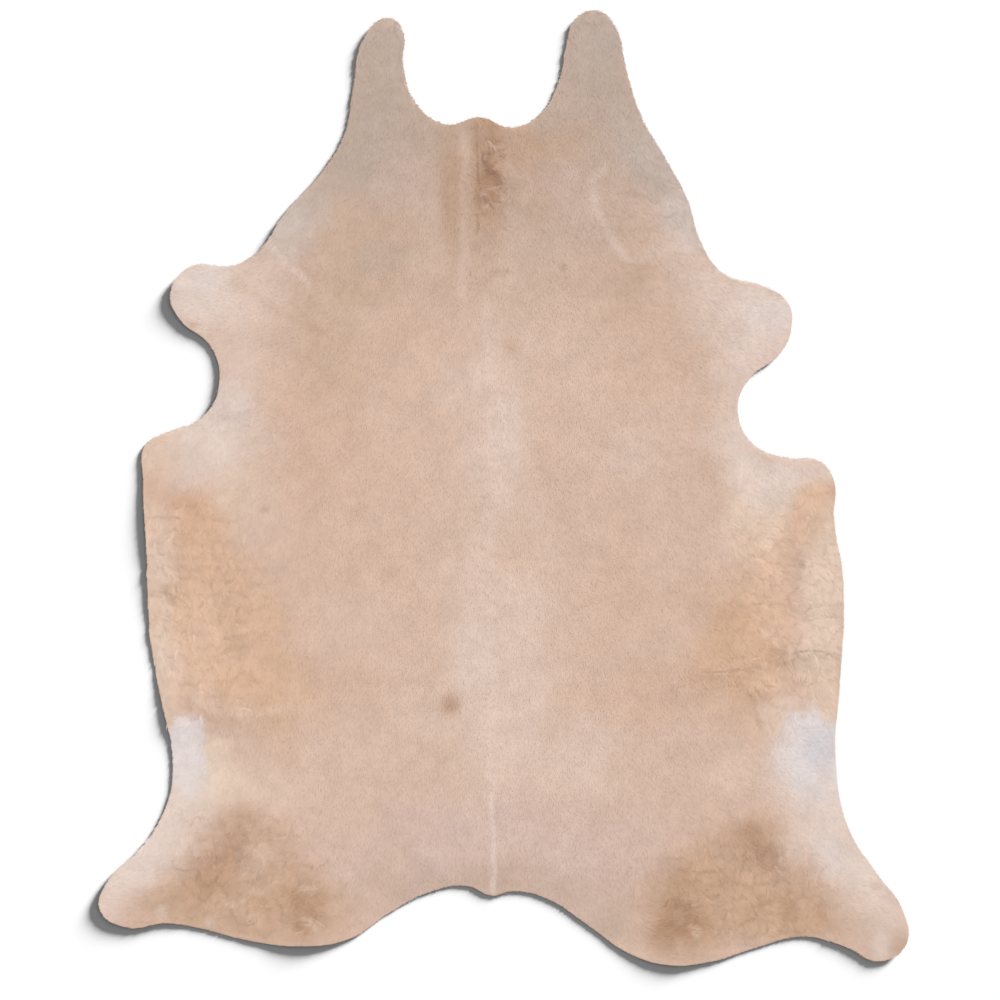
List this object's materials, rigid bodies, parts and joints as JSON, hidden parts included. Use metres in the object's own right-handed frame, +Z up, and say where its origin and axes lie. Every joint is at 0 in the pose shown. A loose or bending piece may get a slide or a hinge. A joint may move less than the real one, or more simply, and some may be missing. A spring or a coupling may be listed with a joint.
{
  "type": "hair-on cowhide rug",
  "caption": "Whole hair-on hide rug lying flat, trimmed to the animal's outline with neck flaps, fore legs, hind legs and a tail notch; short pale coat up, leather side down.",
  "frame": {"origin": "on the floor under the middle of the outline's box", "axes": "+Y along the spine towards the neck, +X to the right seen from above, +Z up out of the coat"},
  "size_m": [1.8041, 2.1301, 0.0125],
  "materials": {
    "hide": "short lying hair, matt with a soft sheen"
  },
  "bodies": {
    "root": {"hide": "hide"}
  },
  "joints": []
}
